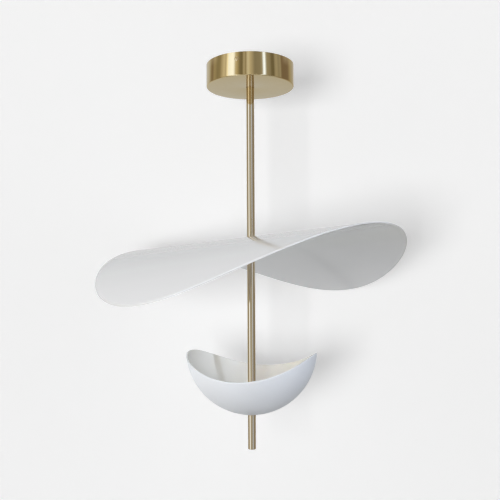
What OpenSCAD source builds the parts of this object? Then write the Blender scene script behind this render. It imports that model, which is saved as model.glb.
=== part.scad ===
// Ceiling light: a bent round sheet and a saddle-rimmed bowl on one brass stem.
// Millimetres, +Z up. The origin is where the stem's axis meets the ceiling.
// The bowl holds an upward lamp that lights the underside of the sheet.

/* [Stem] */
// Outer diameter of the stem tubes
stem_d = 12.7; // [12:0.1:16]
// Bore of the stem tubes
stem_bore = 9; // [8:0.1:9.6]
// Ceiling to the middle of the petal's sheet
petal_drop = 277; // [200:1:330]
// Ceiling to the lowest point of the bowl
dish_drop = 558.8; // [520:0.1:640]
// Length of the tail below the bowl
tail_len = 55; // [30:1:90]
// Softened corner at the end of the tail
tail_edge = 0.8; // [0.2:0.1:1.5]
// Solid end of the tail
tail_floor = 4; // [2:0.5:8]

/* [Nipples] */
// Outer diameter of the hollow nipples
nipple_d = 10; // [9.8:0.1:10.4]
// Bore of the hollow nipples
nipple_bore = 6; // [5.5:0.1:7]
// Length of thread inside each tube end
thread_len = 20; // [14:1:26]
// Gap round a nipple in its tube or bore
thread_gap = 0.05; // [0.02:0.01:0.1]
// Gap at the flat faces that turn on each other
swivel_gap = 0.1; // [0.05:0.05:0.2]

/* [Petal] */
// Diameter of the petal seen from above
petal_d = 488; // [400:1:540]
// Thickness of the petal's sheet
petal_t = 2; // [1.5:0.1:3]
// Radius that the sheet is bent to, at its middle
petal_bend_r = 365; // [300:1:500]
// Heading of the ridge, from +X
petal_heading = -42.8; // [-90:0.1:90]
// Slope of the ridge, rising along its heading
petal_slope = 2.64; // [0:0.01:5]
// How far the ridge lies to one side of the stem
petal_offset = 6.2; // [0:0.1:12]
// Thickness of the wedge washers above and below the petal
petal_washer_t = 1.5; // [1.2:0.1:3]

/* [Bowl] */
// Outer diameter of the bowl
dish_d = 210; // [190:1:240]
// Wall of the bowl
dish_t = 2; // [1.5:0.1:3]
// Height of the rim at its two low points
dish_low_h = 65.5; // [55:0.5:80]
// Radius of the rim's saddle, seen along its low points
dish_rim_r = 175; // [150:1:300]
// Heading of the two low points, from +X
dish_heading = 75; // [0:1:180]
// Thickness of the washers inside and outside the bowl
dish_washer_t = 1.5; // [1:0.1:3]

/* [Lamp] */
// Diameter of the heat sink and its opal cover
sink_d = 92; // [84:1:96]
// Thickness of the heat sink's plate
sink_plate_t = 4; // [3:0.5:6]
// Height of the heat sink's hub under its plate
sink_hub_h = 12; // [8:0.5:16]
// Diameter of the hub
sink_hub_d = 24; // [20:1:28]
// Number of cooling fins
fin_count = 20; // [12:1:28]
// Thickness of a cooling fin
fin_t = 1.6; // [1.2:0.1:2]
// Gap between the fins and the bowl
fin_gap = 1.5; // [1:0.1:3]
// Outer diameter of the lamp board
board_d = 82; // [78:1:83]
// Hole in the lamp board
board_hole_d = 20; // [18:1:24]
// Thickness of the lamp board
board_t = 1.6; // [1:0.1:2.4]
// Length of one LED
chip_l = 3.5; // [3:0.1:5]
// Width of one LED
chip_w = 2.8; // [2:0.1:3.5]
// Height of one LED
chip_h = 0.8; // [0.5:0.1:1.2]
// LEDs in the inner ring
chip_inner = 12; // [8:1:16]
// LEDs in the outer ring
chip_outer = 18; // [12:1:24]
// Radius of the inner ring of LEDs
chip_inner_r = 22; // [20:0.5:24]
// Radius of the outer ring of LEDs
chip_outer_r = 36; // [34:0.5:37]
// Height of the opal cover at its edge
cover_h = 14; // [12.5:0.5:18]
// Wall of the opal cover
cover_wall = 2; // [1.5:0.1:2.5]
// Radius of the cover's domed top
cover_dome_r = 220; // [160:1:400]
// Gap round the stem in the cover
cover_gap = 0.4; // [0.2:0.1:1]

/* [Ceiling cup] */
// Outer diameter of the cup
cup_d = 140; // [138:1:160]
// Height of the cup
cup_h = 35.5; // [32:0.5:50]
// Wall of the cup
cup_wall = 1.5; // [1:0.1:2]
// Inside radius of the cup's lower edge
cup_edge_in = 0.5; // [0.3:0.1:3]
// Gap between the cup and the stem
cup_gap = 0.3; // [0.2:0.1:1]
// Number of side screws
side_count = 3; // [2:1:6]
// Heading of the first side screw, from +X
side_heading = -106.3; // [-180:0.1:180]
// Ceiling to the side screws
side_drop = 10.6; // [8:0.1:12]
// Thread diameter of the side screws
side_d = 4; // [3:0.5:5]
// Head diameter of the side screws
side_head_d = 7.2; // [6:0.1:9]
// Head height of the side screws
side_head_h = 1.8; // [1:0.1:3]
// Gap between a tightened side screw and the plate's flange
side_tip_gap = 0.3; // [0.1:0.1:0.6]

/* [Ceiling plate] */
// Outer diameter of the plate
plate_d = 130; // [126:0.5:131]
// Thickness of the plate
plate_t = 2; // [1.5:0.1:3]
// Inside radius of the plate's bent edge
plate_bend_in = 1; // [0.5:0.1:2]
// Height of the plate with its flange
plate_h = 18; // [15:0.5:22]
// Distance between the two fixing slots
slot_spacing = 100; // [98:1:102]
// Width of a fixing slot
slot_w = 5; // [4:0.1:6]
// Length of a fixing slot, end to end
slot_len = 12; // [8:0.5:13]
// Drop of the strap's middle below the plate
strap_drop = 15; // [14:0.5:18]
// Thickness of the strap
strap_t = 2.5; // [2:0.1:3]
// Inside radius of the strap's bends
strap_bend_in = 1.5; // [0.5:0.1:2.5]
// Width of the strap
strap_w = 24; // [20:1:26]
// Clear width inside the strap
strap_span = 36; // [34:1:38]
// Length of each of the strap's feet
strap_foot = 14; // [12:0.5:15]
// Width of the stem nut across its flats
nut_af = 14; // [13:0.5:16]
// Height of the stem nut
nut_h = 5; // [4:0.5:5.5]
// Thickness of the toothed washer
tooth_washer_t = 1; // [0.6:0.1:1.2]

/* [Electrics] */
// Length of the driver's case
driver_l = 76; // [60:1:78]
// Width of the driver's case
driver_w = 32; // [24:1:33]
// Height of the driver's case
driver_h = 19; // [14:0.5:22]
// Distance from the stem's axis to the driver
driver_y = 14; // [13:0.5:16]
// Length of each of the driver's feet
driver_foot = 8; // [7:0.5:9]
// Pitch of the terminal block's poles
pole_pitch = 10; // [9:0.5:11]
// Width of the terminal block
block_w = 18; // [14:0.5:20]
// Height of the terminal block
block_h = 14; // [12:0.5:16]
// Distance from the stem's axis to the terminal block
block_y = 23; // [22:0.5:26]
// Gap between the strap and the mains wire that passes outside it
wire_strap_gap = 0.9; // [0.7:0.1:1.4]
// Diameter of a mains wire
mains_wire_d = 2.2; // [1.6:0.1:2.4]
// Diameter of a lamp wire
lamp_wire_d = 1.5; // [1:0.1:1.6]
// Bore of the cable grommet
cable_bore = 10; // [8:0.5:11]
// Place of the cable grommet along X
grommet_x = -24; // [-28:1:-20]
// Place of the cable grommet along Y
grommet_y = -38; // [-40:1:-34]

/* [Fasteners] */
// Thread diameter of the small screws
screw_d = 4; // [3:0.5:4]
// Head diameter of the small screws
screw_head_d = 7.5; // [6:0.1:8]
// Head height of the small screws
screw_head_h = 2.4; // [1.5:0.1:3]

/* [Hidden] */
$fn = 96;

cut = 1; // how far a cutting shape runs past what it cuts
screw_gap = 0.05; // gap round a screw in its hole
bend_gap = 0.05; // gap between a curved wall and the washer that fits it
wire_sides = 12;
wire_turn_step = 15; // largest turn between two rings of a wire, in degrees
short_of_face = 0.2; // how far a screw's end stays inside the plate's face

brass = [0.76, 0.65, 0.42];
satin_white = [0.88, 0.88, 0.88];
zinc = [0.72, 0.73, 0.74];

stem_r = stem_d / 2;
nipple_r = nipple_d / 2;
tap_r = nipple_r + thread_gap;

// Levels of the ceiling fitting
strap_top_z = -plate_t - strap_drop;
stem_top_z = strap_top_z - strap_t;
nut_low_z = strap_top_z + tooth_washer_t;
nipple_proud = 1.5;
nipple_top_z = nut_low_z + nut_h + nipple_proud;
lock_screw_drop = 6;
lock_screw_z = stem_top_z - lock_screw_drop;
lock_screw_heading = 45;
lock_screw_d = 3;
lock_screw_proud = 1.2;

// Levels at the petal
petal_z = -petal_drop;
upper_end_z = petal_z + petal_t / 2 + petal_washer_t + swivel_gap;
lower_top_z = petal_z - petal_t / 2 - petal_washer_t - swivel_gap;

// Levels at the bowl and its lamp
dish_r = dish_d / 2;
dish_in_r = dish_r - dish_t;
dish_low_z = -dish_drop;
dish_mid_z = dish_low_z + dish_r;
sink_low_z = dish_low_z + dish_t + dish_washer_t + swivel_gap;
sink_plate_z = sink_low_z + sink_hub_h;
sink_top_z = sink_plate_z + sink_plate_t;
sink_r = sink_d / 2;
board_top_z = sink_top_z + board_t;
tail_top_z = dish_low_z - dish_washer_t - swivel_gap;
inner_washer_r = 10;

// Lamp board
board_screw_count = 3;
board_screw_r = (chip_inner_r + chip_outer_r) / 2;
board_screw_d = 3;
board_screw_head_d = 5.5;
board_screw_head_h = 1.6;

// Lamp wires: two side by side, out of the driver, down the stem and out to the board
wire_pitch = lamp_wire_d + 0.3;
pair_r = (wire_pitch + lamp_wire_d) / 2;
lead_bush_r = pair_r + 0.1;
lead_bush_wall = 0.7;
lead_hole_r = lead_bush_r + lead_bush_wall + screw_gap;
lead_rise = 8;
lead_z = sink_top_z + lead_rise;
lead_bend_r = 3;
lead_y = 13;
wire_drop = 3.2;
wire_z = -plate_t - wire_drop;

// Places on the ceiling plate
plate_r = plate_d / 2;
cup_r = cup_d / 2;
cup_in_r = cup_r - cup_wall;
screw_hole_r = screw_d / 2 + screw_gap;
strap_screw_x = strap_span / 2 + strap_t + strap_foot / 2;
driver_mid_y = driver_y + driver_w / 2;
driver_foot_t = 2.5;
driver_foot_w = 12;
driver_screw_x = driver_l / 2 + driver_foot / 2;
pole_z = -plate_t - block_h / 2;
outer_pole_x = strap_span / 2 + strap_t + wire_strap_gap + mains_wire_d / 2;
block_x = outer_pole_x - pole_pitch;
pole_x = [block_x - pole_pitch, block_x, outer_pole_x];
clamp_inset = 5;
block_screw_y = [-block_y - clamp_inset, -block_y - block_w + clamp_inset];
block_well = 4;
block_screw_d = 2;
block_screw_len = 3;
grommet_waist_r = cable_bore / 2 + 2;
grommet_lip = 1.2;

// Mains wires: a shallow bow from the block to the driver
bow_turn = 25;
bow_r = 12;
bow_mid = 2;
bow_end = (block_y + driver_y - 2 * bow_mid * cos(bow_turn) - 4 * bow_r * sin(bow_turn)) / 2;

// Earth wire: round to the left, up to the plate and into a lug under the earth screw
earth_gap = 1.5;
earth_x = -strap_screw_x;
earth_y = -strap_w / 2 - screw_head_d / 2 - earth_gap;
earth_turn_r = 3;
earth_rise_turn = 40;
earth_rise_r = 5;
lug_margin = 0.75;
lug_r = screw_head_d / 2 + lug_margin;
lug_t = 1;
lug_lap = 0.5; // how far the lug's barrel reaches over its ring
lug_barrel_r = 1.5;
lug_barrel_len = 4;
earth_wire_z = -plate_t - lug_barrel_r - 0.1;
earth_rise = earth_wire_z - pole_z;
earth_slope = (earth_rise - 2 * earth_rise_r * (1 - cos(earth_rise_turn))) / sin(earth_rise_turn);
earth_rise_len = 2 * earth_rise_r * sin(earth_rise_turn) + earth_slope * cos(earth_rise_turn);
earth_run = pole_x[0] - earth_turn_r - earth_x - lug_r - earth_rise_len;
earth_first = 0.4;

// Side nuts of the cup
side_nut_margin = 1.5;
side_nut_af = side_d + 2 * side_nut_margin;
side_nut_t = 2.2;
side_nut_out = sqrt(pow(cup_in_r, 2) - pow(hexagon_r(side_nut_af), 2)) - screw_gap;

// A block in the plane, r wide and h high, with its lower outer corner rounded by c
module half_section(r, h, c) {
    square([r - c, h]);
    translate([0, c]) square([r, h - c]);
    translate([r - c, c]) circle(c);
}

// The same block and its mirror image
module full_section(r, h, c) {
    half_section(r, h, c);
    mirror([1, 0]) half_section(r, h, c);
}

// A rectangle with rounded corners, centred
module round_rect(l, w, r) {
    square([l - 2 * r, w], center = true);
    square([l, w - 2 * r], center = true);
    for (x = [-1, 1], y = [-1, 1]) {
        translate([x * (l / 2 - r), y * (w / 2 - r)]) circle(r);
    }
}

// A tube standing on the plane
module tube(outer_r, inner_r, h) {
    difference() {
        cylinder(r = outer_r, h = h);
        translate([0, 0, -cut]) cylinder(r = inner_r, h = h + 2 * cut);
    }
}

// A round hole down through whatever lies between two levels
module hole(r, low_z, top_z) {
    translate([0, 0, low_z - cut]) cylinder(r = r, h = top_z - low_z + 2 * cut);
}

// A slotted screw, head up, with its seat on the plane
module slotted_screw(d, head_d, head_h, len) {
    slot_w = head_d / 7;
    slot_h = head_h / 2;
    edge_h = head_h * 0.4;
    difference() {
        union() {
            translate([0, 0, -len]) cylinder(d = d, h = len);
            cylinder(d = head_d, h = head_h - edge_h);
            translate([0, 0, head_h - edge_h]) cylinder(d1 = head_d, d2 = head_d * 0.8, h = edge_h);
        }
        translate([-head_d, -slot_w / 2, head_h - slot_h]) cube([2 * head_d, slot_w, slot_h + cut]);
    }
}

// From the middle of a hexagon to its corners, from its width across flats
function hexagon_r(flats) = flats / sqrt(3);

// v turned by a degrees about n, where v and n are unit vectors at a right angle
function turned(v, n, a) = v * cos(a) + cross(n, v) * sin(a);

function unit(v) = v / norm(v);

// The points of a route that starts at pos and heads along dir, turning in the plane square to normal.
// Each step is [straight length, turn in degrees, turn radius, roll of the turn's plane].
function route(steps, pos, dir, normal, k = 0) = k == len(steps) ? [] : let (
    corner = pos + steps[k][0] * dir,
    turn = steps[k][1],
    axis = turned(normal, dir, steps[k][3]),
    arm = sign(turn) * steps[k][2] * cross(axis, dir),
    count = ceil(abs(turn) / wire_turn_step),
    bend = turn == 0 ? [] : [for (i = [1 : count]) corner + arm - turned_arm(arm, axis, turn * i / count)],
    end = turn == 0 ? corner : bend[count - 1]
) concat([corner], bend, route(steps, end, turned(dir, axis, turn), axis, k + 1));

function turned_arm(arm, axis, a) = norm(arm) * turned(unit(arm), axis, a);

// A round wire along the points of a route; up is a direction that the wire never takes
module wire(points, d, up) {
    last = len(points) - 1;
    rings = [
        for (k = [0 : last])
            let (
                along = unit(points[min(k + 1, last)] - points[max(k - 1, 0)]),
                side = unit(cross(up, along)),
                rise = cross(along, side)
            )
            for (j = [0 : wire_sides - 1])
                let (a = j * 360 / wire_sides)
                points[k] + d / 2 * (cos(a) * side + sin(a) * rise)
    ];
    walls = [
        for (k = [0 : last - 1], j = [0 : wire_sides - 1])
            let (
                near = k * wire_sides,
                far = near + wire_sides,
                next = (j + 1) % wire_sides
            )
            each [[near + j, far + j, far + next], [near + j, far + next, near + next]]
    ];
    start_cap = [for (j = [1 : wire_sides - 2]) [0, j, j + 1]];
    end_cap = [for (j = [1 : wire_sides - 2]) [for (n = [0, j + 1, j]) last * wire_sides + n]];
    polyhedron(points = rings, faces = concat(walls, start_cap, end_cap));
}

// Puts what follows at each side screw of the cup, with +Z pointing outwards
module at_side_screws() {
    for (i = [0 : side_count - 1]) {
        rotate([0, 0, side_heading + i * 360 / side_count]) translate([0, 0, -side_drop]) rotate([0, 90, 0])
            children();
    }
}

// Puts what follows at each screw of the lamp board
module at_board_screws() {
    for (i = [0 : board_screw_count - 1]) {
        rotate([0, 0, (i + 0.25) * 360 / board_screw_count]) translate([board_screw_r, 0, 0]) children();
    }
}

// Puts what follows on the strap's or the driver's two screws
module at_pair(x, y, z) {
    for (side = [-1, 1]) translate([side * x, y, z]) children();
}

// The petal's frame: X along the ridge, the origin where the middle of the sheet meets the stem's axis
module in_petal_frame() {
    translate([0, 0, petal_z]) rotate([0, 0, petal_heading]) rotate([0, -petal_slope, 0]) children();
}

// A solid roller along the ridge. The sheet is what lies between two such rollers.
module petal_roller(r) {
    drop = sqrt(pow(petal_bend_r, 2) - pow(petal_offset, 2));
    in_petal_frame() translate([-petal_d, petal_offset, -drop]) rotate([0, 90, 0])
        cylinder(r = r, h = 2 * petal_d, $fn = 360);
}

// A block under a plane that lies along the sheet at the stem, level above the sheet's middle
module petal_tangent_block(level) {
    in_petal_frame() rotate([asin(petal_offset / petal_bend_r), 0, 0])
        translate([-stem_d, -stem_d, level - stem_d]) cube([2 * stem_d, 2 * stem_d, stem_d]);
}

module ceiling_plate() {
    bend_r = plate_bend_in + plate_t;
    color(zinc) difference() {
        mirror([0, 0, 1]) rotate_extrude() difference() {
            half_section(plate_r, plate_h, bend_r);
            translate([0, plate_t]) half_section(plate_r - plate_t, plate_h, plate_bend_in);
        }
        at_pair(slot_spacing / 2, 0, -plate_t - cut) linear_extrude(plate_t + 2 * cut) {
            square([slot_len - slot_w, slot_w], center = true);
            for (end = [-1, 1]) translate([end * (slot_len - slot_w) / 2, 0]) circle(d = slot_w);
        }
        at_pair(strap_screw_x, 0, 0) hole(screw_hole_r, -plate_t, 0);
        at_pair(driver_screw_x, driver_mid_y, 0) hole(screw_hole_r, -plate_t, 0);
        translate([earth_x, earth_y, 0]) hole(screw_hole_r, -plate_t, 0);
        translate([grommet_x, grommet_y, 0]) hole(grommet_waist_r, -plate_t, 0);
    }
}

module cable_grommet() {
    flange_r = grommet_waist_r + 2;
    flange_z = -plate_t - grommet_lip;
    low_z = flange_z - grommet_lip;
    color("dimgrey") translate([grommet_x, grommet_y, 0]) difference() {
        union() {
            translate([0, 0, flange_z]) cylinder(r = grommet_waist_r, h = -flange_z);
            translate([0, 0, flange_z]) cylinder(r = flange_r, h = grommet_lip);
            translate([0, 0, low_z]) cylinder(r1 = grommet_waist_r, r2 = flange_r, h = grommet_lip);
        }
        hole(cable_bore / 2, low_z, 0);
    }
}

module stem_strap() {
    depth = strap_drop + strap_t;
    color(zinc) difference() {
        translate([0, strap_w / 2, stem_top_z]) rotate([90, 0, 0]) linear_extrude(strap_w) difference() {
            union() {
                full_section(strap_span / 2 + strap_t, depth, strap_bend_in + strap_t);
                for (side = [-1, 1]) translate([side * strap_screw_x, depth - strap_t / 2])
                    square([strap_foot, strap_t], center = true);
            }
            translate([0, strap_t]) full_section(strap_span / 2, depth, strap_bend_in);
        }
        hole(tap_r, stem_top_z, strap_top_z);
        at_pair(strap_screw_x, 0, 0) hole(screw_hole_r, -plate_t - strap_t, -plate_t);
    }
}

module strap_screws() {
    color(zinc) at_pair(strap_screw_x, 0, -plate_t - strap_t) mirror([0, 0, 1])
        slotted_screw(screw_d, screw_head_d, screw_head_h, strap_t + plate_t - short_of_face);
}

module led_driver() {
    corner_r = 3;
    groove = 0.5;
    groove_h = 0.8;
    lid_h = 4;
    low_z = -plate_t - driver_h;
    color(satin_white) difference() {
        translate([0, driver_mid_y, 0]) {
            translate([0, 0, low_z]) linear_extrude(driver_h) round_rect(driver_l, driver_w, corner_r);
            translate([0, 0, -plate_t - driver_foot_t]) linear_extrude(driver_foot_t)
                round_rect(driver_l + 2 * driver_foot, driver_foot_w, corner_r);
        }
        translate([0, driver_mid_y, low_z + lid_h]) linear_extrude(groove_h) difference() {
            square([driver_l + 2 * cut, driver_w + 2 * cut], center = true);
            round_rect(driver_l - 2 * groove, driver_w - 2 * groove, corner_r - groove);
        }
        at_pair(driver_screw_x, driver_mid_y, 0) hole(screw_hole_r, -plate_t - driver_foot_t, -plate_t);
    }
}

module driver_screws() {
    color(zinc) at_pair(driver_screw_x, driver_mid_y, -plate_t - driver_foot_t) mirror([0, 0, 1])
        slotted_screw(screw_d, screw_head_d, screw_head_h, driver_foot_t + plate_t - short_of_face);
}

module terminal_block() {
    base_h = 5;
    barrel_gap = 2;
    well_r = block_screw_d + 0.2;
    low_z = -plate_t - block_h;
    color("ivory") difference() {
        translate([0, -block_y - block_w / 2, 0]) {
            translate([block_x, 0, -plate_t - base_h]) linear_extrude(base_h)
                round_rect(3 * pole_pitch, block_w, 1.5);
            for (x = pole_x) translate([x, 0, low_z]) linear_extrude(block_h)
                round_rect(pole_pitch - barrel_gap, block_w, 2);
        }
        for (x = pole_x) {
            for (y = block_screw_y) translate([x, y, low_z - cut]) {
                cylinder(r = well_r, h = block_well + cut);
                cylinder(r = block_screw_d / 2 + screw_gap, h = block_well + block_screw_len + 2 * cut);
            }
            translate([x, -block_y - block_w - cut, pole_z]) rotate([-90, 0, 0])
                cylinder(r = mains_wire_d / 2 + 0.3, h = block_well + cut);
        }
    }
}

module terminal_screws() {
    color(brass) for (x = pole_x, y = block_screw_y) {
        translate([x, y, -plate_t - block_h + block_well]) mirror([0, 0, 1])
            slotted_screw(block_screw_d, 2 * block_screw_d, 2, block_screw_len);
    }
}

module earth_screw() {
    color(brass) translate([earth_x, earth_y, -plate_t - lug_t]) mirror([0, 0, 1])
        slotted_screw(screw_d, screw_head_d, screw_head_h, lug_t + plate_t - short_of_face);
}

module earth_wire() {
    start = [pole_x[0], -block_y, pole_z];
    steps = [
        [block_y + earth_y - earth_turn_r, 90, earth_turn_r, 0],
        [earth_run * earth_first, earth_rise_turn, earth_rise_r, 90],
        [earth_slope, -earth_rise_turn, earth_rise_r, 0],
        [earth_run * (1 - earth_first), 0, 0, 0]
    ];
    color("yellowgreen") {
        wire(concat([start], route(steps, start, [0, 1, 0], [0, 0, 1])), mains_wire_d, [0, 0, 1]);
        difference() {
            union() {
                translate([earth_x, earth_y, -plate_t - lug_t]) cylinder(r = lug_r, h = lug_t);
                translate([earth_x + lug_r - lug_lap, earth_y, earth_wire_z]) rotate([0, 90, 0])
                    cylinder(r = lug_barrel_r, h = lug_barrel_len);
            }
            translate([earth_x, earth_y, 0]) hole(screw_hole_r, -plate_t - lug_t, -plate_t);
        }
    }
}

module mains_wires() {
    bow = [
        [bow_end, -bow_turn, bow_r, 0],
        [bow_mid, 2 * bow_turn, bow_r, 0],
        [bow_mid, -bow_turn, bow_r, 0],
        [bow_end, 0, 0, 0]
    ];
    for (k = [1, 2]) {
        start = [pole_x[k], -block_y, pole_z];
        color(k == 1 ? "royalblue" : "saddlebrown")
            wire(concat([start], route(bow, start, [0, 1, 0], [0, 0, 1])), mains_wire_d, [0, 0, 1]);
    }
}

module lamp_wires() {
    steps = [
        [driver_y - lead_bend_r, 90, lead_bend_r, 0],
        [wire_z - lead_z - 2 * lead_bend_r, 90, lead_bend_r, 0],
        [lead_y - 2 * lead_bend_r, -90, lead_bend_r, 0],
        [lead_z - lead_bend_r - board_top_z, 0, 0, 0]
    ];
    for (side = [-1, 1]) {
        start = [side * wire_pitch / 2, driver_y, wire_z];
        color(side < 0 ? "black" : "red")
            wire(concat([start], route(steps, start, [0, -1, 0], [1, 0, 0])), lamp_wire_d, [1, 0, 0]);
    }
}

module nipple(low_z, top_z) {
    translate([0, 0, low_z]) tube(nipple_r, nipple_bore / 2, top_z - low_z);
}

// The cross hole that lets the lamp wires out of the stem
module lead_hole() {
    translate([0, 0, lead_z]) rotate([-90, 0, 0]) cylinder(r = lead_hole_r, h = stem_d);
}

module top_nipple() {
    color(brass) nipple(stem_top_z - thread_len, nipple_top_z);
}

module stem_nut() {
    color(zinc) translate([0, 0, nut_low_z]) difference() {
        cylinder(r = hexagon_r(nut_af), h = nut_h, $fn = 6);
        hole(tap_r, 0, nut_h);
    }
}

module stem_lock_washer() {
    ring_r = nipple_r + 2;
    root_r = nipple_r + 1;
    tip_r = ring_r + 1.4;
    tooth_w = 1.8;
    tooth_count = 10;
    color(zinc) translate([0, 0, strap_top_z]) difference() {
        union() {
            cylinder(r = ring_r, h = tooth_washer_t);
            for (i = [0 : tooth_count - 1]) rotate([0, 0, i * 360 / tooth_count])
                translate([root_r, -tooth_w / 2, 0]) cube([tip_r - root_r, tooth_w, tooth_washer_t]);
        }
        hole(tap_r, 0, tooth_washer_t);
    }
}

module at_lock_screw() {
    rotate([0, 0, lock_screw_heading]) translate([0, 0, lock_screw_z]) rotate([0, 90, 0]) children();
}

module stem_lock_screw() {
    socket_r = 0.9;
    color(zinc) at_lock_screw() difference() {
        translate([0, 0, nipple_r]) cylinder(d = lock_screw_d, h = stem_r + lock_screw_proud - nipple_r);
        translate([0, 0, stem_r]) cylinder(r = socket_r, h = lock_screw_proud + cut, $fn = 6);
    }
}

// A stem tube, counterbored at both ends for its nipples
module stem_tube(low_z, top_z) {
    difference() {
        translate([0, 0, low_z]) cylinder(r = stem_r, h = top_z - low_z);
        hole(stem_bore / 2, low_z, top_z);
        hole(tap_r, low_z, low_z + thread_len);
        hole(tap_r, top_z - thread_len, top_z);
    }
}

module upper_stem() {
    color(brass) difference() {
        stem_tube(upper_end_z, stem_top_z);
        at_lock_screw() cylinder(r = lock_screw_d / 2 + screw_gap, h = stem_d);
    }
}

module petal_nipple() {
    color(brass) nipple(lower_top_z - thread_len, upper_end_z + thread_len);
}

module petal_upper_washer() {
    color(brass) difference() {
        translate([0, 0, petal_z]) cylinder(r = stem_r, h = upper_end_z - swivel_gap - petal_z);
        petal_tangent_block(petal_t / 2 + bend_gap);
        hole(tap_r, petal_z, upper_end_z);
    }
}

module petal() {
    color(satin_white) difference() {
        intersection() {
            translate([0, 0, petal_z - petal_d / 2]) cylinder(d = petal_d, h = petal_d, $fn = 360);
            difference() {
                petal_roller(petal_bend_r + petal_t / 2);
                petal_roller(petal_bend_r - petal_t / 2);
            }
        }
        hole(tap_r, lower_top_z, upper_end_z);
    }
}

module petal_lower_washer() {
    sheet_sag = pow(stem_r, 2) / (2 * petal_bend_r);
    color(brass) difference() {
        intersection() {
            translate([0, 0, lower_top_z + swivel_gap]) cylinder(r = stem_r, h = petal_z - lower_top_z);
            petal_tangent_block(-petal_t / 2 - bend_gap - sheet_sag);
        }
        hole(tap_r, lower_top_z, petal_z);
    }
}

module lower_stem() {
    color(brass) difference() {
        stem_tube(sink_top_z, lower_top_z);
        lead_hole();
    }
}

module dish_nipple() {
    color(brass) difference() {
        nipple(tail_top_z - thread_len, sink_top_z + thread_len);
        lead_hole();
    }
}

module heat_sink() {
    fin_in_r = nipple_d;
    fin_len = sink_r - cut - fin_in_r;
    color("silver") difference() {
        union() {
            translate([0, 0, sink_plate_z]) cylinder(r = sink_r, h = sink_plate_t);
            translate([0, 0, sink_low_z]) cylinder(d = sink_hub_d, h = sink_hub_h);
            intersection() {
                for (i = [0 : fin_count - 1]) rotate([0, 0, i * 360 / fin_count])
                    translate([fin_in_r, -fin_t / 2, sink_low_z]) cube([fin_len, fin_t, sink_hub_h]);
                translate([0, 0, dish_mid_z]) sphere(r = dish_in_r - fin_gap, $fn = 180);
            }
        }
        hole(tap_r, sink_low_z, sink_top_z);
        at_board_screws() hole(board_screw_d / 2 + screw_gap, sink_plate_z, sink_top_z);
    }
}

module led_board() {
    color("whitesmoke") difference() {
        translate([0, 0, sink_top_z]) tube(board_d / 2, board_hole_d / 2, board_t);
        at_board_screws() hole(board_screw_d / 2 + screw_gap, sink_top_z, board_top_z);
    }
}

module chip_ring(count, r) {
    for (i = [0 : count - 1]) rotate([0, 0, (i + 0.5) * 360 / count])
        translate([r - chip_l / 2, -chip_w / 2, board_top_z]) cube([chip_l, chip_w, chip_h]);
}

module led_chips() {
    color("khaki") {
        chip_ring(chip_inner, chip_inner_r);
        chip_ring(chip_outer, chip_outer_r);
    }
}

module board_screws() {
    len = board_t + sink_plate_t - short_of_face;
    color(zinc) at_board_screws() translate([0, 0, board_top_z])
        slotted_screw(board_screw_d, board_screw_head_d, board_screw_head_h, len);
}

module lead_bush() {
    lip_t = 0.8;
    inner_y = nipple_bore / 2;
    color("dimgrey") translate([0, 0, lead_z]) rotate([-90, 0, 0]) difference() {
        union() {
            translate([0, 0, inner_y]) cylinder(r = lead_hole_r - screw_gap, h = stem_r + lip_t - inner_y);
            translate([0, 0, stem_r]) cylinder(r = lead_hole_r + 0.6, h = lip_t);
        }
        hole(lead_bush_r, 0, stem_d);
    }
}

// Half of a domed block: r wide, under an arc whose centre is mid above the base
module dome_section(r, mid, dome_r) {
    intersection() {
        square([r, dome_r]);
        translate([0, mid]) circle(dome_r, $fn = 360);
    }
}

module diffuser() {
    mid = cover_h - sqrt(pow(cover_dome_r, 2) - pow(sink_r, 2));
    color("white", 0.8) translate([0, 0, sink_top_z]) difference() {
        rotate_extrude($fn = 180) difference() {
            dome_section(sink_r, mid, cover_dome_r);
            translate([0, -cut]) dome_section(sink_r - cover_wall, mid + cut, cover_dome_r - cover_wall);
        }
        hole(stem_r + cover_gap, 0, 2 * cover_h);
    }
}

module dish_inner_washer() {
    top_z = sink_low_z - swivel_gap;
    color("white") difference() {
        intersection() {
            translate([0, 0, dish_low_z]) cylinder(r = inner_washer_r, h = top_z - dish_low_z);
            translate([0, 0, dish_mid_z]) sphere(r = dish_in_r - bend_gap, $fn = 180);
        }
        hole(tap_r, dish_low_z, sink_low_z);
    }
}

module dish() {
    color(satin_white) difference() {
        translate([0, 0, dish_mid_z]) sphere(r = dish_r, $fn = 180);
        translate([0, 0, dish_mid_z]) sphere(r = dish_in_r, $fn = 180);
        translate([0, 0, dish_low_z + dish_low_h + dish_rim_r]) rotate([0, 90, dish_heading])
            cylinder(r = dish_rim_r, h = 2 * dish_d, center = true, $fn = 360);
        hole(tap_r, dish_low_z, sink_low_z);
    }
}

module dish_outer_washer() {
    color(brass) difference() {
        translate([0, 0, tail_top_z + swivel_gap]) cylinder(r = stem_r, h = dish_washer_t + dish_t);
        translate([0, 0, dish_mid_z]) sphere(r = dish_r + bend_gap, $fn = 180);
        hole(tap_r, tail_top_z, dish_low_z + dish_t);
    }
}

module tail_stem() {
    color(brass) translate([0, 0, tail_top_z - tail_len]) difference() {
        rotate_extrude() half_section(stem_r, tail_len, tail_edge);
        translate([0, 0, tail_floor]) cylinder(d = stem_bore, h = tail_len);
        translate([0, 0, tail_len - thread_len - cut]) cylinder(r = tap_r, h = thread_len + 2 * cut);
    }
}

module canopy_cup() {
    color(brass) difference() {
        translate([0, 0, -cup_h]) rotate_extrude($fn = 180) difference() {
            half_section(cup_r, cup_h, cup_edge_in + cup_wall);
            translate([0, cup_wall]) half_section(cup_in_r, cup_h, cup_edge_in);
        }
        hole(stem_r + cup_gap, -cup_h, -cup_h + cup_wall);
        at_side_screws() translate([0, 0, cup_r / 2]) cylinder(r = side_d / 2 + screw_gap, h = cup_r);
    }
}

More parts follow.
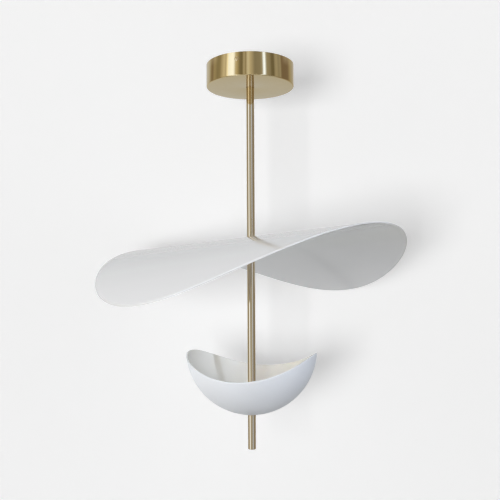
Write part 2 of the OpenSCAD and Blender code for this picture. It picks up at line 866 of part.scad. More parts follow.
module canopy_nuts() {
    color(zinc) at_side_screws() translate([0, 0, side_nut_out - side_nut_t]) difference() {
        cylinder(r = hexagon_r(side_nut_af), h = side_nut_t, $fn = 6);
        hole(side_d / 2 + screw_gap, 0, side_nut_t);
    }
}

module canopy_screws() {
    color(brass) at_side_screws() translate([0, 0, cup_r])
        slotted_screw(side_d, side_head_d, side_head_h, cup_r - plate_r - side_tip_gap);
}

ceiling_plate();
cable_grommet();
stem_strap();
strap_screws();
led_driver();
driver_screws();
terminal_block();
terminal_screws();
earth_screw();
earth_wire();
mains_wires();
lamp_wires();
top_nipple();
stem_nut();
stem_lock_washer();
stem_lock_screw();
upper_stem();
petal_nipple();
petal_upper_washer();
petal();
petal_lower_washer();
lower_stem();
dish_nipple();
heat_sink();
led_board();
led_chips();
board_screws();
lead_bush();
diffuser();
dish_inner_washer();
dish();
dish_outer_washer();
tail_stem();
canopy_cup();
canopy_nuts();
canopy_screws();
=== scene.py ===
import math

import bmesh
import bpy
from mathutils import Matrix, Vector


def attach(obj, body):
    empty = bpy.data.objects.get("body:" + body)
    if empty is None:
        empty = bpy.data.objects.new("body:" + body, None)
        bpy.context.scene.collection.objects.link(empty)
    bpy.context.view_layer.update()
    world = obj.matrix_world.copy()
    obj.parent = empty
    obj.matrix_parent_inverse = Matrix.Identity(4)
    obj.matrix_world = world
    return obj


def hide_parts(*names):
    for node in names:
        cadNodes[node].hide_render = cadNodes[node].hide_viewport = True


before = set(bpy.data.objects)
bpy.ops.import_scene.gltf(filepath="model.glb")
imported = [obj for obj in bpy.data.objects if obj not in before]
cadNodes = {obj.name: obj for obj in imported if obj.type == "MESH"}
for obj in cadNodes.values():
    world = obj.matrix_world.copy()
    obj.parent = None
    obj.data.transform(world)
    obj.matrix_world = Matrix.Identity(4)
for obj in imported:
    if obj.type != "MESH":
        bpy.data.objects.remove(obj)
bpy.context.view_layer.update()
scene = bpy.context.scene
mm = 0.001
print("frame loaded,", len(cadNodes), "CAD nodes")

# Camera first: level, a little above half the height of the light, leaning a third of a degree

cameraSet = {
    "place": (-0.0009, -1.0446, -0.3344), "lean": 0.3, "sensor": 36, "lens": 46.8,
    "shiftX": -0.0011, "shiftY": 0.048, "near": 0.01, "far": 60,
}

camera = bpy.data.objects.new("camera", bpy.data.cameras.new("camera"))
scene.collection.objects.link(camera)
camera.location = cameraSet["place"]
camera.rotation_euler = (math.radians(90), math.radians(cameraSet["lean"]), 0)
camera.data.sensor_width = cameraSet["sensor"]
camera.data.lens = cameraSet["lens"]
camera.data.shift_x = cameraSet["shiftX"]
camera.data.shift_y = cameraSet["shiftY"]
camera.data.clip_start = cameraSet["near"]
camera.data.clip_end = cameraSet["far"]
scene.camera = camera
scene.view_settings.view_transform = "Standard"
print("camera set")


class Sig:  # a number socket that can stand in a sum
    def __init__(self, tree, socket):
        self.tree, self.socket = tree, socket

    def calc(self, operation, *terms):
        node = self.tree.nodes.new("ShaderNodeMath")
        node.operation = operation
        for slot, term in zip(node.inputs, terms):
            if isinstance(term, Sig):
                self.tree.links.new(term.socket, slot)
            else:
                slot.default_value = term
        return Sig(self.tree, node.outputs[0])

    def __add__(self, other): return self.calc("ADD", self, other)
    def __radd__(self, other): return self.calc("ADD", other, self)
    def __sub__(self, other): return self.calc("SUBTRACT", self, other)
    def __rsub__(self, other): return self.calc("SUBTRACT", other, self)
    def __mul__(self, other): return self.calc("MULTIPLY", self, other)
    def __rmul__(self, other): return self.calc("MULTIPLY", other, self)
    def __truediv__(self, other): return self.calc("DIVIDE", self, other)
    def __rtruediv__(self, other): return self.calc("DIVIDE", other, self)
    def __neg__(self): return self.calc("MULTIPLY", self, -1.0)
    def __abs__(self): return self.calc("ABSOLUTE", self)
    def sin(self): return self.calc("SINE", self)
    def cos(self): return self.calc("COSINE", self)
    def root(self): return self.calc("SQRT", self)
    def most(self, other): return self.calc("MAXIMUM", self, other)
    def least(self, other): return self.calc("MINIMUM", self, other)
    def unit(self): return self.most(0.0).least(1.0)


class Bench:  # puts nodes into one tree
    def __init__(self, tree):
        self.tree = tree

    def join(self, value, slot):
        if isinstance(value, Sig):
            value = value.socket
        if isinstance(value, bpy.types.NodeSocket):
            self.tree.links.new(value, slot)
        else:
            slot.default_value = value

    def put(self, kind, settings=None, inputs=None):
        node = self.tree.nodes.new(kind)
        for key, value in (settings or {}).items():
            if key == "stops":
                while len(node.color_ramp.elements) < len(value):
                    node.color_ramp.elements.new(0.5)
                for stop, (place, colour) in zip(node.color_ramp.elements, value):
                    stop.position, stop.color = place, colour
            else:
                setattr(node, key, value)
        for key, value in (inputs or {}).items():
            self.join(value, node.inputs[key])
        return node

    def sig(self, node, name=0):
        return Sig(self.tree, node.outputs[name])

    def blend(self, share, first, second):
        node = self.put("ShaderNodeMix", {"data_type": "RGBA"}, {0: share, 6: first, 7: second})
        return node.outputs[2]


# Finishes

def startMaterial(name):
    material = bpy.data.materials.new(name)
    material.use_nodes = True
    bench = Bench(material.node_tree)
    shader = material.node_tree.nodes["Principled BSDF"]
    place = bench.put("ShaderNodeTexCoord").outputs["Object"]
    return material, bench, shader, place


def streak(bench, place, scale, detail=3.0, rough=0.55):  # scale is one number, or one for each axis
    scale = scale if isinstance(scale, tuple) else (scale,) * 3
    mapped = bench.put("ShaderNodeMapping", None, {"Vector": place, "Scale": scale})
    noise = bench.put("ShaderNodeTexNoise", None, {
        "Vector": mapped.outputs[0], "Scale": 1.0, "Detail": detail, "Roughness": rough})
    return bench.sig(noise, "Fac")


def relief(bench, shader, height, strength, distance):
    bump = bench.put("ShaderNodeBump", None, {"Height": height, "Strength": strength, "Distance": distance})
    bench.join(bump.outputs[0], shader.inputs["Normal"])


def setShader(shader, values):
    for key, value in values.items():
        shader.inputs[key].default_value = value


def mottle(bench, shader, share, pale, deep):  # the colour wanders between the two
    bench.join(bench.blend(share, pale, deep), shader.inputs["Base Color"])


def grey(level):
    return level, level, level, 1


turnedSet = {
    "pale": (0.78, 0.61, 0.33, 1), "deep": (0.72, 0.55, 0.27, 1), "ringsPerMetre": 2600.0,
    "cloud": (14, 14, 60), "smear": (90, 90, 9), "rough": 0.03, "relief": 0.05, "depth": 0.00001,
    "coat": 0.25, "coatRough": 0.06,
}


def brassTurned(name):  # fine rings left by turning, on the cup's wall and underside
    material, bench, shader, place = startMaterial(name)
    xyz = bench.put("ShaderNodeSeparateXYZ", None, {0: place})
    x, y, z = (bench.sig(xyz, k) for k in range(3))
    wave = ((x * x + y * y).root() + z) * turnedSet["ringsPerMetre"]
    rings = bench.sig(bench.put("ShaderNodeTexNoise", {"noise_dimensions": "1D"}, {
        "W": wave, "Scale": 1.0, "Detail": 2.0, "Roughness": 0.6}), "Fac")
    cloud = streak(bench, place, turnedSet["cloud"], 2.0)
    smear = streak(bench, place, turnedSet["smear"], 3.0)
    mottle(bench, shader, (cloud * 0.6 + smear * 0.6 - 0.1).unit(), turnedSet["pale"], turnedSet["deep"])
    bench.join(turnedSet["rough"] + rings * 0.03 + cloud * 0.02, shader.inputs["Roughness"])
    relief(bench, shader, rings, turnedSet["relief"], turnedSet["depth"])
    setShader(shader, {
        "Metallic": 1.0, "Coat Weight": turnedSet["coat"], "Coat Roughness": turnedSet["coatRough"]})
    return material


drawnSet = {
    "pale": (0.79, 0.67, 0.48, 1), "deep": (0.73, 0.6, 0.4, 1), "lines": (1500, 1500, 12),
    "cloud": (30, 30, 18), "rough": 0.03, "relief": 0.02, "depth": 0.00001, "coat": 0.1, "coatRough": 0.06,
}


def brassDrawn(name):  # faint lines along the tube
    material, bench, shader, place = startMaterial(name)
    lines = streak(bench, place, drawnSet["lines"], 3.0)
    cloud = streak(bench, place, drawnSet["cloud"], 2.0)
    mottle(bench, shader, (cloud * 0.7 + lines * 0.4 - 0.05).unit(), drawnSet["pale"], drawnSet["deep"])
    bench.join(drawnSet["rough"] + lines * 0.03 + cloud * 0.02, shader.inputs["Roughness"])
    relief(bench, shader, lines, drawnSet["relief"], drawnSet["depth"])
    setShader(shader, {
        "Metallic": 1.0, "Coat Weight": drawnSet["coat"], "Coat Roughness": drawnSet["coatRough"]})
    return material


metalSet = {"cloud": 45, "relief": 0.15, "depth": 0.00003}


def metalPlain(name, pale, deep, rough, grainScale):
    material, bench, shader, place = startMaterial(name)
    grain = streak(bench, place, grainScale, 4.0)
    cloud = streak(bench, place, metalSet["cloud"], 3.0)
    mottle(bench, shader, (grain * 0.5 + cloud * 0.6 - 0.05).unit(), pale, deep)
    bench.join(rough + grain * 0.14 + cloud * 0.08, shader.inputs["Roughness"])
    relief(bench, shader, grain, metalSet["relief"], metalSet["depth"])
    setShader(shader, {"Metallic": 1.0})
    return material


paintSet = {"cloud": 7, "grain": 520, "speck": 2400, "depth": 0.00004}


def paint(name, colour, shade, rough, peel, coat, coatRough=0.12):
    material, bench, shader, place = startMaterial(name)
    cloud = streak(bench, place, paintSet["cloud"], 2.0)
    grain = streak(bench, place, paintSet["grain"], 2.0, 0.5)
    speck = streak(bench, place, paintSet["speck"], 1.0, 0.5)
    mottle(bench, shader, (cloud * 0.8 + grain * 0.2).unit(), colour, shade)
    bench.join(rough + grain * 0.05 + speck * 0.03, shader.inputs["Roughness"])
    relief(bench, shader, grain + speck * 0.4, peel, paintSet["depth"])
    setShader(shader, {"Coat Weight": coat, "Coat Roughness": coatRough, "Specular IOR Level": 0.5})
    return material


mouldedSet = {"cloud": 60, "depth": 0.00005}


def moulded(name, colour, shade, rough, grainSize, peel):
    material, bench, shader, place = startMaterial(name)
    grain = streak(bench, place, grainSize, 3.0, 0.6)
    cloud = streak(bench, place, mouldedSet["cloud"], 2.0)
    mottle(bench, shader, (cloud * 0.6 + grain * 0.4).unit(), colour, shade)
    bench.join(rough + grain * 0.12, shader.inputs["Roughness"])
    relief(bench, shader, grain, peel, mouldedSet["depth"])
    return material


brassCup = brassTurned("brassCup")
brassTube = brassDrawn("brassTube")

# Pale, deep, roughness, scale of the grain
brassFitting = metalPlain("brassFitting", (0.62, 0.49, 0.27, 1), (0.5, 0.38, 0.19, 1), 0.2, 300)
brassScrew = metalPlain("brassScrew", (0.78, 0.61, 0.35, 1), (0.7, 0.52, 0.27, 1), 0.06, 500)
zincSteel = metalPlain("zincSteel", (0.64, 0.65, 0.67, 1), (0.5, 0.51, 0.53, 1), 0.3, (260, 40, 260))
sinkMetal = metalPlain("sinkMetal", (0.78, 0.78, 0.79, 1), (0.66, 0.66, 0.68, 1), 0.36, (700, 700, 90))

# Colour, shade, roughness, orange peel, clear coat and its roughness
petalPaint = paint("petalPaint", (0.7, 0.7, 0.705, 1), (0.68, 0.68, 0.685, 1), 0.16, 0.01, 1.0, 0.05)
bowlOutside = paint("bowlOutside", (0.765, 0.785, 0.815, 1), (0.735, 0.755, 0.79, 1), 0.42, 0.12, 0.0)
# The inside is the glossier finish. Its paler, warmer colour than the outside's is partly painted light,
# standing in for light that falls into the bowl.
bowlInsideLit = paint("bowlInsideLit", (0.91, 0.905, 0.875, 1), (0.89, 0.885, 0.85, 1), 0.13, 0.02, 0.9, 0.03)

# Colour, shade, roughness, scale of the grain and how far it stands out
driverCase = moulded("driverCase", (0.78, 0.78, 0.77, 1), (0.72, 0.72, 0.71, 1), 0.42, 1500.0, 0.3)
blockNylon = moulded("blockNylon", (0.8, 0.77, 0.66, 1), (0.74, 0.71, 0.6, 1), 0.38, 900.0, 0.2)
washerNylon = moulded("washerNylon", (0.82, 0.8, 0.75, 1), (0.78, 0.76, 0.7, 1), 0.4, 900.0, 0.15)
boardMask = moulded("boardMask", (0.84, 0.84, 0.82, 1), (0.8, 0.8, 0.78, 1), 0.32, 1800.0, 0.08)
ledPhosphor = moulded("ledPhosphor", (0.84, 0.66, 0.16, 1), (0.78, 0.58, 0.1, 1), 0.28, 3000.0, 0.1)
blackRubber = moulded("blackRubber", (0.035, 0.035, 0.036, 1), (0.06, 0.06, 0.062, 1), 0.55, 1100.0, 0.35)
redSheath = moulded("redSheath", (0.5, 0.02, 0.015, 1), (0.42, 0.015, 0.012, 1), 0.3, 400.0, 0.08)
blackSheath = moulded("blackSheath", (0.02, 0.02, 0.022, 1), (0.035, 0.035, 0.036, 1), 0.3, 400.0, 0.08)
blueSheath = moulded("blueSheath", (0.02, 0.09, 0.42, 1), (0.016, 0.07, 0.35, 1), 0.3, 400.0, 0.08)
brownSheath = moulded("brownSheath", (0.12, 0.045, 0.02, 1), (0.095, 0.035, 0.016, 1), 0.3, 400.0, 0.08)

earthSet = {
    "green": (0.035, 0.25, 0.05, 1), "yellow": (0.72, 0.62, 0.04, 1), "stripes": 190.0, "wander": 0.4,
    "edge": 14.0, "rough": 0.3, "grain": 500,
}
opalSet = {
    "pale": (0.86, 0.85, 0.81, 1), "deep": (0.82, 0.81, 0.77, 1), "cloud": 30, "grain": 1600, "rough": 0.26,
    "relief": 0.08, "depth": 0.00003, "through": 0.25, "throughDepth": 0.004, "coat": 0.2,
}


def earthSheath(name):  # green with a yellow stripe that winds round
    material, bench, shader, place = startMaterial(name)
    wave = bench.put("ShaderNodeTexWave", {"bands_direction": "DIAGONAL"}, {
        "Vector": place, "Scale": earthSet["stripes"], "Distortion": earthSet["wander"]})
    stripe = ((bench.sig(wave, "Fac") - 0.5) * earthSet["edge"] + 0.5).unit()
    mottle(bench, shader, stripe, earthSet["green"], earthSet["yellow"])
    bench.join(earthSet["rough"] + streak(bench, place, earthSet["grain"]) * 0.1, shader.inputs["Roughness"])
    return material


def opal(name):
    material, bench, shader, place = startMaterial(name)
    cloud = streak(bench, place, opalSet["cloud"], 2.0)
    grain = streak(bench, place, opalSet["grain"], 2.0)
    mottle(bench, shader, cloud, opalSet["pale"], opalSet["deep"])
    bench.join(opalSet["rough"] + grain * 0.1, shader.inputs["Roughness"])
    relief(bench, shader, grain, opalSet["relief"], opalSet["depth"])
    setShader(shader, {
        "Subsurface Weight": opalSet["through"], "Subsurface Scale": opalSet["throughDepth"],
        "Coat Weight": opalSet["coat"]})
    return material


earthPlastic = earthSheath("earthPlastic")
opalPlastic = opal("opalPlastic")
print("finishes made")


# Mesh helpers

def link(name, mesh):
    piece = bpy.data.objects.new(name, mesh)
    scene.collection.objects.link(piece)
    return piece


def crease(mesh, degrees=35):  # smooth faces, hard edges only where the surface turns sharply
    work = bmesh.new()
    work.from_mesh(mesh)
    for face in work.faces:
        face.smooth = True
    for edge in work.edges:
        edge.smooth = edge.is_manifold and edge.calc_face_angle(0) < math.radians(degrees)
    work.to_mesh(mesh)
    work.free()


def asMesh(work, name):
    mesh = bpy.data.meshes.new(name)
    work.to_mesh(mesh)
    work.free()
    return mesh


def softCorners(corners, steps=5):  # corners are (radius out, height, rounding), all in mm
    points = []
    for k, (r, z, rounding) in enumerate(corners):
        here = Vector((r, z))
        if rounding <= 0:
            points.append(here)
            continue
        back = (Vector(corners[k - 1][:2]) - here).normalized()
        ahead = (Vector(corners[(k + 1) % len(corners)][:2]) - here).normalized()
        half = back.angle(ahead) / 2
        reach = rounding / math.tan(half)
        centre = here + (back + ahead).normalized() * (rounding / math.sin(half))
        first, last = here + back * reach - centre, here + ahead * reach - centre
        turn = first.angle_signed(last)
        for step in range(steps + 1):
            points.append(centre + Matrix.Rotation(-turn * step / steps, 2) @ first)
    return points


def spun(name, corners, segments, steps=5):  # a closed outline in mm, turned about the stem's axis
    outline = softCorners(corners, steps)
    work = bmesh.new()
    rings = []
    for k in range(segments):
        x, y = math.cos(2 * math.pi * k / segments), math.sin(2 * math.pi * k / segments)
        rings.append([work.verts.new((p.x * x * mm, p.x * y * mm, p.y * mm)) for p in outline])
    for k, ring in enumerate(rings):
        ahead = rings[(k + 1) % segments]
        for j in range(len(outline)):
            n = (j + 1) % len(outline)
            work.faces.new((ring[j], ahead[j], ahead[n], ring[n]))
    bmesh.ops.remove_doubles(work, verts=work.verts, dist=1e-7)
    bmesh.ops.dissolve_degenerate(work, edges=work.edges, dist=1e-8)
    bmesh.ops.delete(work, geom=[e for e in work.edges if not e.link_faces], context="EDGES")
    bmesh.ops.recalc_face_normals(work, faces=work.faces)
    mesh = asMesh(work, name)
    crease(mesh)
    return link(name, mesh)


def wear(piece, material, body, slot, *stoodFor):
    if material is not None:
        piece.data.materials.clear()
        piece.data.materials.append(material)
    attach(piece, body)
    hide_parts(*stoodFor)


# Geometry Nodes: every tree ends in Realize Instances and Set Material, and becomes a plain mesh

def startTree(name, inputs):
    tree = bpy.data.node_groups.new(name, "GeometryNodeTree")
    tree.interface.new_socket("Geometry", in_out="INPUT", socket_type="NodeSocketGeometry")
    for label, value in inputs.items():
        kind = {int: "NodeSocketInt", float: "NodeSocketFloat"}.get(type(value))
        if isinstance(value, bpy.types.Object):
            kind = "NodeSocketObject"
        if isinstance(value, bpy.types.Material):
            kind = "NodeSocketMaterial"
        tree.interface.new_socket(label, in_out="INPUT", socket_type=kind)
    tree.interface.new_socket("Geometry", in_out="OUTPUT", socket_type="NodeSocketGeometry")
    bench = Bench(tree)
    entry = tree.nodes.new("NodeGroupInput")
    given = {label: Sig(tree, entry.outputs[label]) for label in inputs}
    return tree, bench, entry.outputs["Geometry"], given


def endTree(bench, geometry, material):
    whole = bench.put("GeometryNodeRealizeInstances", None, {"Geometry": geometry})
    dressed = bench.put("GeometryNodeSetMaterial", None, {"Geometry": whole.outputs[0], "Material": material})
    leave = bench.tree.nodes.new("NodeGroupOutput")
    bench.tree.links.new(dressed.outputs[0], leave.inputs[0])


def softShade(bench, geometry, degrees=40):
    smooth = bench.put("GeometryNodeSetShadeSmooth", {"domain": "FACE"}, {
        "Geometry": geometry, "Shade Smooth": True})
    angle = bench.sig(bench.put("GeometryNodeInputMeshEdgeAngle"), "Unsigned Angle")
    sharp = angle.calc("GREATER_THAN", angle, math.radians(degrees))
    hard = bench.put("GeometryNodeSetShadeSmooth", {"domain": "EDGE"}, {
        "Geometry": smooth.outputs[0], "Selection": sharp, "Shade Smooth": False})
    return hard.outputs[0]


def grow(name, tree, values, mesh=None):  # runs the tree on a piece and keeps the result as its mesh
    piece = link(name, mesh or bpy.data.meshes.new(name + "Start"))
    rule = piece.modifiers.new("rule", "NODES")
    rule.node_group = tree
    for item in tree.interface.items_tree:
        if item.in_out == "INPUT" and item.name in values:
            rule[item.identifier] = values[item.name]
    graph = bpy.context.evaluated_depsgraph_get()
    made = bpy.data.meshes.new_from_object(piece.evaluated_get(graph), depsgraph=graph)
    piece.modifiers.clear()
    if len(made.materials) > 1 and made.materials[0] is None:
        made.materials.pop(index=0)
    piece.data = made
    made.name = name
    return piece


def shellRows(bench, given):
    # Row k of the grid runs out over one face, round the edge, back over the other face and through the bore
    rings, edge = given["Rings"], given["Edge steps"]
    rows = 2 * rings + edge + 2
    grid = bench.put("GeometryNodeMeshGrid", None, {
        "Size X": 1.0, "Size Y": 1.0, "Vertices X": given["Segments"] + 1, "Vertices Y": rows})
    xyz = bench.put("ShaderNodeSeparateXYZ", None, {0: bench.put("GeometryNodeInputPosition").outputs[0]})
    turn = (bench.sig(xyz, 0) + 0.5) * (2 * math.pi)
    k = (bench.sig(xyz, 1) + 0.5) * (rows - 1)
    out = (k / rings).unit()
    bend = ((k - rings) / edge).unit() * math.pi
    back = ((k - rings - edge) / rings).unit()
    through = (k - 2 * rings - edge).unit()
    return grid.outputs["Mesh"], turn, out - back, bend, through


def placeRows(bench, grid, x, y, z, material, flip):
    spot = bench.put("ShaderNodeCombineXYZ", None, {0: x, 1: y, 2: z})
    moved = bench.put("GeometryNodeSetPosition", None, {"Geometry": grid, "Position": spot.outputs[0]})
    joined = bench.put("GeometryNodeMergeByDistance", None, {"Geometry": moved.outputs[0], "Distance": 1e-6})
    shape = joined.outputs[0]
    if flip:
        shape = bench.put("GeometryNodeFlipFaces", None, {"Mesh": shape}).outputs[0]
    endTree(bench, softShade(bench, shape), material)


# The petal: a round sheet bent over a sloping ridge

petalSet = {
    "Radius": 244 * mm, "Thickness": 2 * mm, "Bend radius": 365 * mm, "Heading": math.radians(-42.8),
    "Slope": math.radians(2.64), "Ridge offset": 6.2 * mm, "Drop": 277 * mm, "Bore radius": 5.05 * mm,
    "Edge softness": 0.6 * mm, "Rings": 76, "Edge steps": 6, "Segments": 384, "Finish": petalPaint,
}


def petalTree():
    tree, bench, _, given = startTree("petalRule", petalSet)
    grid, turn, outward, bend, through = shellRows(bench, given)
    bore, soft = given["Bore radius"], given["Edge softness"]
    r = bore + (given["Radius"] - soft - bore) * outward + soft * bend.sin()
    height = (bend.cos() + 2 * through) * given["Thickness"] / 2
    x, y = r * turn.cos(), r * turn.sin()
    cosine, sine = given["Heading"].cos(), given["Heading"].sin()
    offset, flat = given["Ridge offset"], given["Bend radius"]
    along, across = x * cosine + y * sine, y * cosine - x * sine - offset
    bent = flat + height
    lift = (bent * bent - across * across).root() - (flat * flat - offset * offset).root()
    z = (lift + along * given["Slope"].sin()) / given["Slope"].cos() - given["Drop"]
    placeRows(bench, grid, x, y, z, given["Finish"], True)
    return tree


petalSheet = grow("petal_sheet", petalTree(), petalSet)
wear(petalSheet, None, "petal", "petal_paint", "petal")
print("petal made,", len(petalSheet.data.polygons), "faces")


# The bowl: a round shell whose rim is cut by a long roller, so that it rises and falls

bowlSet = {
    "Outer radius": 105 * mm, "Wall": 2 * mm, "Bottom": 558.8 * mm, "Low rim height": 65.5 * mm,
    "Rim radius": 175 * mm, "Heading": math.radians(75), "Bore radius": 5.05 * mm, "Edge softness": 0.7 * mm,
    "Rings": 56, "Edge steps": 6, "Segments": 256, "Finish": bowlOutside,
}
insideEdge = 103.9 * mm  # half way over the rim, where the glossy inside ends


def bowlTree():
    tree, bench, _, given = startTree("bowlRule", bowlSet)
    grid, turn, outward, bend, through = shellRows(bench, given)
    mid = given["Outer radius"] - given["Wall"] / 2
    middle = given["Outer radius"] - given["Bottom"]
    rimAxis = given["Low rim height"] + given["Rim radius"] - given["Bottom"]
    gap = middle - rimAxis
    side = (turn - given["Heading"]).sin()
    share = side * side
    # Cosine of the rim's angle from straight down, where the shell meets the roller
    first = mid * mid * (1 - share)
    second = gap * mid * -2
    third = mid * mid * share + gap * gap - given["Rim radius"] * given["Rim radius"]
    rimCos = third * -2 / (second + (second * second - first * third * 4).root())
    rim = rimCos.calc("ARCCOSINE", rimCos)
    bore, soft = given["Bore radius"] / mid, given["Edge softness"] / mid
    angle = bore + (rim - soft - bore) * outward + soft * bend.sin()
    reach = mid + (bend.cos() + 2 * through) * given["Wall"] / 2
    out = reach * angle.sin()
    z = middle - reach * angle.cos()
    placeRows(bench, grid, out * turn.cos(), out * turn.sin(), z, given["Finish"], False)
    return tree


def dressInside(piece, material):
    middle = Vector((0, 0, bowlSet["Outer radius"] - bowlSet["Bottom"]))
    piece.data.materials.append(material)
    for face in piece.data.polygons:
        if (Vector(face.center) - middle).length < insideEdge:
            face.material_index = 1


bowlShell = grow("bowl_shell", bowlTree(), bowlSet)
# faces inside the bowl take the glossier paint, whose extra brightness is painted light
dressInside(bowlShell, bowlInsideLit)
wear(bowlShell, None, "bowl", "bowl_paint", "dish")
print("bowl made,", len(bowlShell.data.polygons), "faces")


# Brass: the cup, the stem's two tubes and the tail

cupSet = {
    "outer": 70.0, "wall": 1.5, "height": 35.5, "hole": 6.65, "corner": 2.0, "inCorner": 0.5, "topEdge": 0.25,
    "holeEdge": 0.2, "ceilingGap": 0.02, "segments": 360, "cornerSteps": 6,
}
tubeSet = {
    "outer": 6.35, "bore": 4.5, "tap": 5.05, "thread": 20.0, "edge": 0.15, "segments": 96, "cornerSteps": 3,
    "upper": (-274.4, -19.5), "lower": (-539.2, -279.6),  # foot and head of each tube
}
tailSet = {"top": -560.4, "length": 55.0, "floor": 4.0, "corner": 0.8, "cornerSteps": 5}


def makeCup():
    outer, wall, hole, edge = (cupSet[k] for k in ("outer", "wall", "hole", "holeEdge"))
    top, low, inner = -cupSet["ceilingGap"], -cupSet["height"], outer - wall
    corners = [
        (outer, top, cupSet["topEdge"]), (outer, low, cupSet["corner"]),
        (hole, low, edge), (hole, low + wall, edge),
        (inner, low + wall, cupSet["inCorner"]), (inner, top, cupSet["topEdge"]),
    ]
    return spun("cup_shell", corners, cupSet["segments"], cupSet["cornerSteps"])


def makeTube(name, low, top):
    outer, bore, tap, edge = (tubeSet[k] for k in ("outer", "bore", "tap", "edge"))
    deep = tubeSet["thread"]
    corners = [
        (outer, top, edge), (outer, low, edge), (tap, low, edge), (tap, low + deep, 0),
        (bore, low + deep, 0), (bore, top - deep, 0), (tap, top - deep, 0), (tap, top, edge),
    ]
    return spun(name, corners, tubeSet["segments"], tubeSet["cornerSteps"])


def makeTail():
    top, low = tailSet["top"], tailSet["top"] - tailSet["length"]
    floor, deep = low + tailSet["floor"], top - tubeSet["thread"]
    outer, bore, tap, edge = (tubeSet[k] for k in ("outer", "bore", "tap", "edge"))
    corners = [
        (outer, top, edge), (outer, low, tailSet["corner"]), (0, low, 0), (0, floor, 0), (bore, floor, 0),
        (bore, deep, 0), (tap, deep, 0), (tap, top, edge),
    ]
    return spun("tail_tube", corners, tubeSet["segments"], tailSet["cornerSteps"])


wear(makeCup(), brassCup, "canopy", "brushed_brass", "canopy_cup")
wear(makeTube("upper_tube", *tubeSet["upper"]), brassTube, "stem_frame", "brushed_brass", "upper_stem")
wear(makeTube("lower_tube", *tubeSet["lower"]), brassTube, "stem_frame", "brushed_brass", "lower_stem")
wear(makeTail(), brassTube, "stem_frame", "brushed_brass", "tail_stem")
print("cup, stem and tail made")


# Screws: one slotted form for each size, set out by a tree that reads where each one points

screwSet = {
    "point": 0.3, "underEdge": 0.15, "brim": 0.12, "segments": 48, "cornerSteps": 4,
    "slotAt": 0.9,  # share of the head's height
    "crownSteps": (0.94, 0.85, 0.75, 0.62, 0.48, 0.32, 0.16, 0),  # shares of the head's radius
}
formSizes = {  # thread, head across, head height, length, fall of the head's top to its edge, slot
    "sideForm": (4, 7.2, 1.8, 4.7, 1.0, 1.5),
    "panForm": (4, 7.5, 2.4, 4.2, 0.9, 1.1),
    "earthForm": (4, 7.5, 2.4, 2.8, 0.9, 1.1),
    "clampForm": (2, 4, 2, 3, 0.4, 0.6),
    "boardForm": (3, 5.5, 1.6, 5.4, 0.6, 0.8),
}


def slottedForm(name, threadD, headD, headH, length, crown, slotWide):
    thread, head, point = threadD / 2, headD / 2, screwSet["point"]
    corners = [
        (0, -length, 0), (thread - point, -length, 0), (thread, -length + point, 0), (thread, 0, 0),
        (head, 0, screwSet["underEdge"]), (head, headH - crown, screwSet["brim"]),
    ]
    corners += [(head * share, headH - crown * share ** 2, 0) for share in screwSet["crownSteps"]]
    form = spun(name, corners, screwSet["segments"], screwSet["cornerSteps"])
    cutter = bmesh.new()
    size = Matrix.Diagonal((headD * 2 * mm, slotWide * mm, headH * mm, 1))
    bmesh.ops.create_cube(cutter, size=1.0, matrix=size)
    bmesh.ops.translate(cutter, verts=cutter.verts, vec=(0, 0, headH * screwSet["slotAt"] * mm))
    tool = link("slotCutter", asMesh(cutter, "slotCutter"))
    slot = form.modifiers.new("slot", "BOOLEAN")
    slot.object = tool
    slot.solver = "EXACT"
    bpy.context.view_layer.update()
    graph = bpy.context.evaluated_depsgraph_get()
    made = bpy.data.meshes.new_from_object(form.evaluated_get(graph))
    form.modifiers.clear()
    form.data = made
    bpy.data.objects.remove(tool)
    crease(form.data, 30)
    return form


def scatterTree(name, form, material):
    tree, bench, start, given = startTree(name, {"Form": form, "Finish": material})
    source = bench.put("GeometryNodeObjectInfo", None, {"Object": given["Form"]})
    aim = bench.put("GeometryNodeInputNamedAttribute", {"data_type": "FLOAT_VECTOR"}, {"Name": "aim"})
    spin = bench.put("GeometryNodeInputNamedAttribute", {"data_type": "FLOAT"}, {"Name": "spin"})
    upright = bench.put("FunctionNodeAlignRotationToVector", {"axis": "Z"}, {
        "Vector": aim.outputs["Attribute"]})
    twist = bench.put("FunctionNodeAxisAngleToRotation", None, {
        "Axis": (0, 0, 1), "Angle": spin.outputs["Attribute"]})
    turned = bench.put("FunctionNodeRotateRotation", {"rotation_space": "LOCAL"}, {
        0: upright.outputs[0], 1: twist.outputs[0]})
    dots = bench.put("GeometryNodeMeshToPoints", None, {"Mesh": start})
    copies = bench.put("GeometryNodeInstanceOnPoints", None, {
        "Points": dots.outputs[0], "Instance": source.outputs["Geometry"], "Rotation": turned.outputs[0]})
    endTree(bench, copies.outputs[0], given["Finish"])
    return tree


def scatter(name, form, material, places):  # places are (point in mm, direction, spin in degrees)
    mesh = bpy.data.meshes.new(name + "Dots")
    mesh.from_pydata([Vector(point) * mm for point, aim, spin in places], [], [])
    mesh.attributes.new("aim", "FLOAT_VECTOR", "POINT")
    mesh.attributes.new("spin", "FLOAT", "POINT")
    for k, (point, aim, spin) in enumerate(places):
        mesh.attributes["aim"].data[k].vector = aim
        mesh.attributes["spin"].data[k].value = math.radians(spin)
    return grow(name, scatterTree(name + "Tree", form, material), {"Form": form, "Finish": material}, mesh)


def heading(degrees):
    a = math.radians(degrees)
    return Vector((math.cos(a), math.sin(a), 0))


sideScrewSet = {"count": 3, "heading": -106.3, "drop": 10.6, "spin": 90.0}
plateSet = {
    "strapX": 27.5, "driverX": 42, "driverY": 30, "panZ": -4.5, "earth": (-27.5, -17.25, -3),
    "poleX": (2.5, 12.5, 22.5), "clampY": (-28, -36), "clampZ": -12, "clampSpin": (30, 17, 5),
}
boardSet = {"top": -537.6, "screwCount": 3, "screwR": 29, "screwHeading": 30, "screwSpin": 40}
down, up = (0, 0, -1), (0, 0, 1)
forms = {name: slottedForm(name, *sizes) for name, sizes in formSizes.items()}

